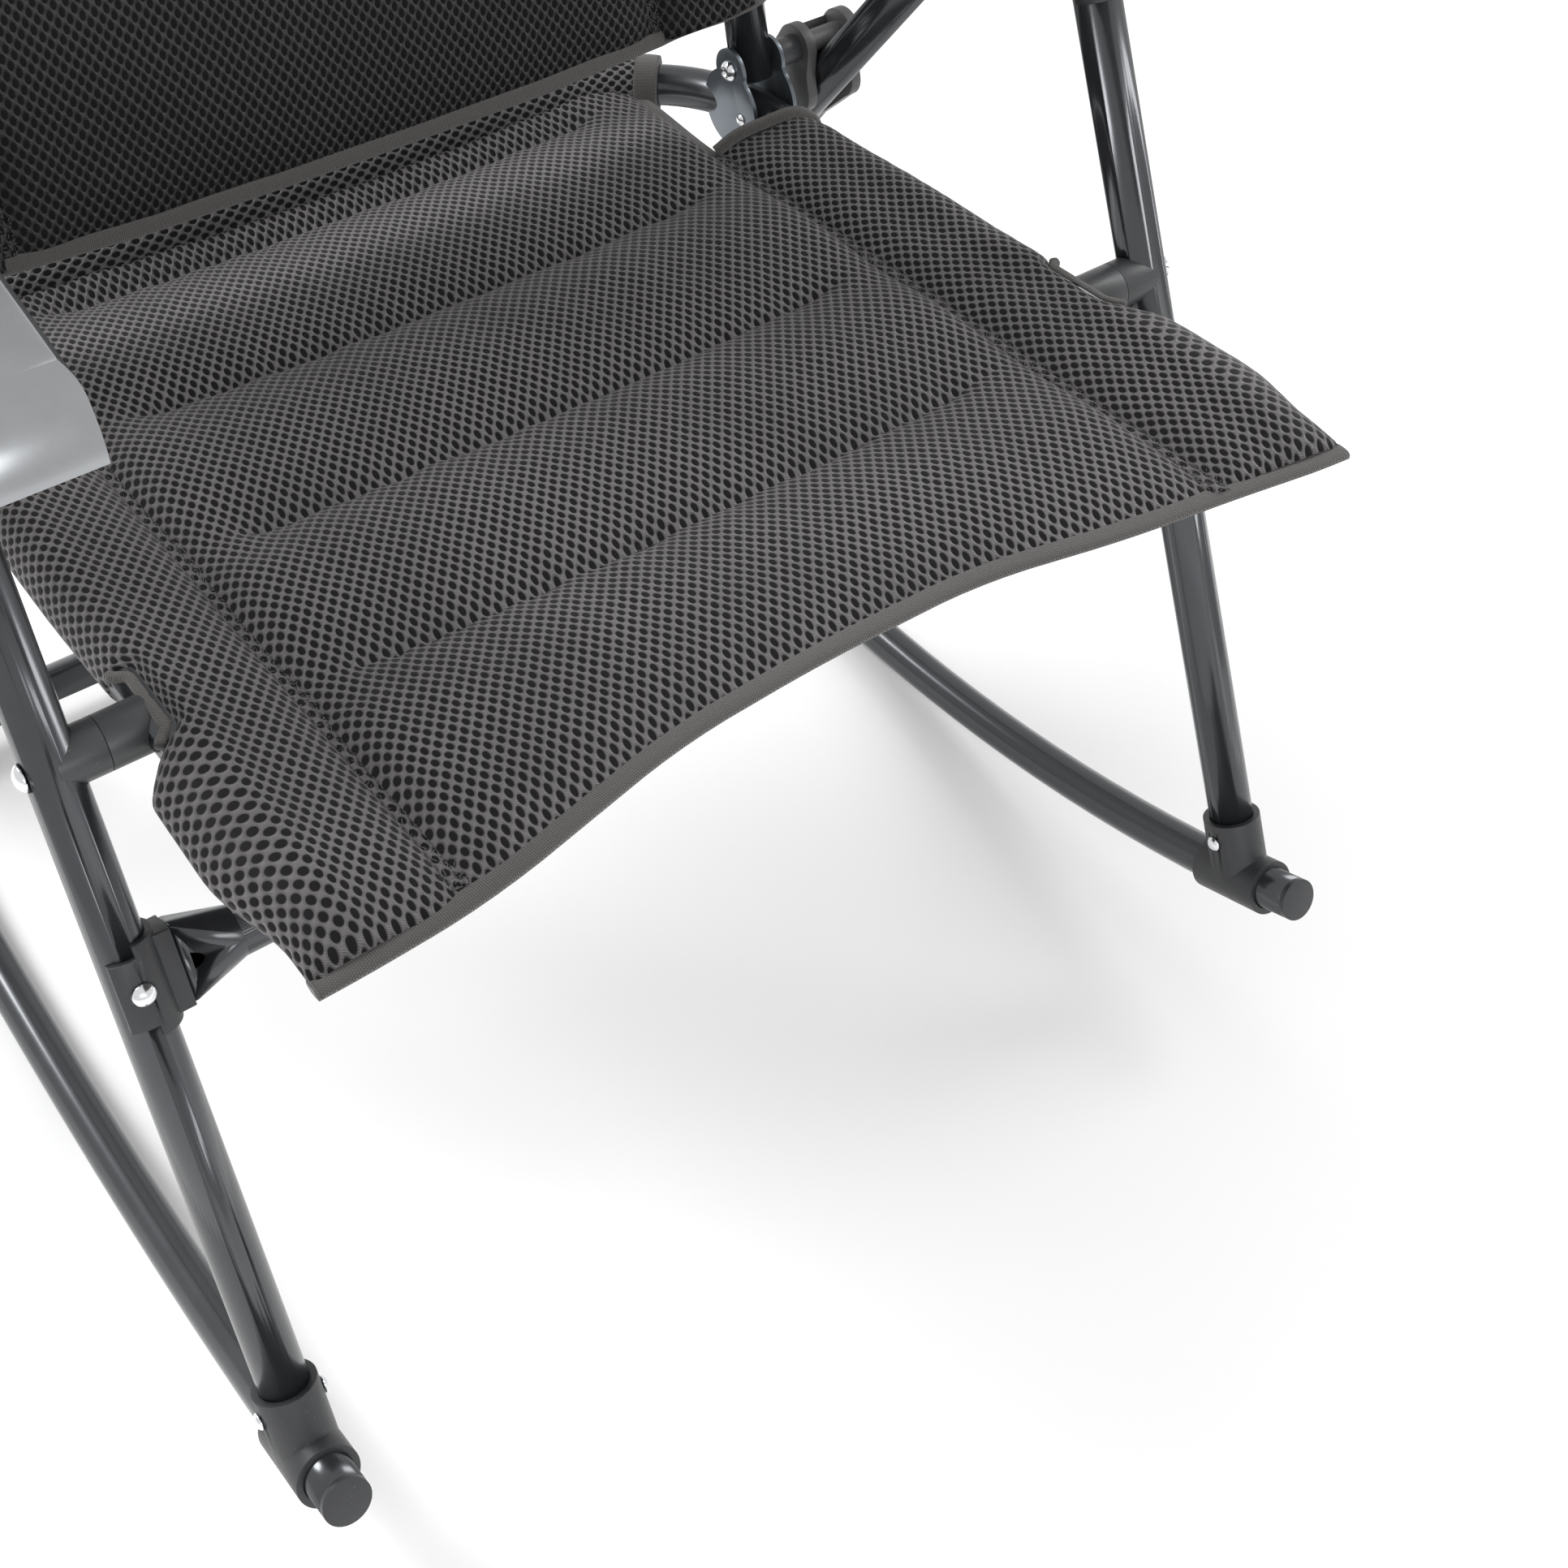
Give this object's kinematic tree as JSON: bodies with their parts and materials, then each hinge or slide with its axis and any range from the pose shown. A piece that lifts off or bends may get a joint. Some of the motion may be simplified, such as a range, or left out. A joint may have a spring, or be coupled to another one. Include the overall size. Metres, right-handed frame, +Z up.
{
  "type": "folding rocking chair",
  "caption": "Folding camp rocking chair: padded mesh seat and high back on a round steel tube frame, A-shaped legs on curved runners, flat armrests and riveted fold links.",
  "frame": {"origin": "on the floor, mid-width, under the point where the runners touch the floor", "axes": "+X is the sitter's left, -Y is the front, +Z is up"},
  "size_m": [0.676, 0.8762, 1.1534],
  "materials": {
    "frame_tube": "glossy anthracite powder coat on steel tube",
    "plate_steel": "satin dark blue-grey coated steel sheet",
    "zinc_steel": "bright zinc plate",
    "black_plastic": "satin black moulded plastic",
    "grey_plastic": "satin silver-grey moulded plastic",
    "seat_fabric": "dark warm grey polyester spacer mesh over padding",
    "back_fabric": "near-black polyester spacer mesh over padding"
  },
  "bodies": {
    "stand": {"front_leg_left": "frame_tube", "front_leg_right": "frame_tube", "front_cross_tube": "frame_tube", "cross_saddles": "black_plastic", "cross_rivets": "zinc_steel", "leg_heads": "black_plastic", "seat_pivot_rivets": "zinc_steel", "outer_bushes": "black_plastic", "runner_left": "frame_tube", "runner_right": "frame_tube", "runner_caps": "black_plastic", "runner_cross_tube": "frame_tube", "front_shoes": "black_plastic", "rear_shoes": "black_plastic", "rear_posts": "frame_tube", "rear_cups": "black_plastic", "shoe_bolts": "zinc_steel"},
    "seat": {"seat_tube": "frame_tube", "seat_tube_plugs": "black_plastic", "hinge_plates_left": "plate_steel", "hinge_plates_right": "plate_steel", "plate_rivets": "zinc_steel", "inner_bushes": "black_plastic", "seat_pad": "seat_fabric", "seat_sleeve_left": "seat_fabric", "seat_sleeve_right": "seat_fabric", "seat_rear_sleeve": "seat_fabric"},
    "back": {"hinge_bolts": "zinc_steel", "back_tube": "frame_tube", "back_end_plugs": "black_plastic", "back_pad": "back_fabric", "back_sleeve_left": "back_fabric", "back_sleeve_right": "back_fabric", "back_top_sleeve": "back_fabric", "arm_studs": "black_plastic"},
    "rear_legs": {"rear_leg_left": "frame_tube", "rear_leg_right": "frame_tube", "rear_cross_tube": "frame_tube", "rear_leg_heads": "black_plastic", "rear_foot_caps": "black_plastic", "link_rivets": "zinc_steel"},
    "links": {"link_left": "black_plastic", "link_right": "black_plastic", "link_bolts": "zinc_steel", "link_nuts": "zinc_steel", "link_spacers": "black_plastic"},
    "armrests": {"armrest_left": "grey_plastic", "armrest_right": "grey_plastic", "arm_pivot_pins": "zinc_steel", "arm_rear_rivets": "zinc_steel"}
  },
  "joints": [
    {"name": "fold", "type": "hinge", "parent": "stand", "child": "seat", "pos_m": [0, -0.225, 0.42932], "axis": [-1, 0, 0], "range_deg": [0, 72]},
    {"name": "back_hinge", "type": "hinge", "parent": "seat", "child": "back", "pos_m": [0, 0.055, 0.43], "axis": [-1, 0, 0], "range_deg": [-74, 0]},
    {"name": "rear_leg_pivot", "type": "hinge", "parent": "stand", "child": "rear_legs", "pos_m": [0, -0.11689, 0.64617], "axis": [-1, 0, 0], "range_deg": [0, 46]},
    {"name": "link_pivot", "type": "hinge", "parent": "rear_legs", "child": "links", "pos_m": [0, 0.1022, 0.325], "axis": [-1, 0, 0], "range_deg": [0, 131]},
    {"name": "armrest_pivot", "type": "hinge", "parent": "stand", "child": "armrests", "pos_m": [0, -0.11689, 0.64617], "axis": [-1, 0, 0], "range_deg": [0, 85]}
  ],
  "couplings": [
    {"joint": "back_hinge", "follows": "fold", "ratio": -1.0229},
    {"joint": "rear_leg_pivot", "follows": "fold", "ratio": 0.63138},
    {"joint": "link_pivot", "follows": "fold", "ratio": 1.8139},
    {"joint": "armrest_pivot", "follows": "fold", "ratio": 1.1771}
  ]
}
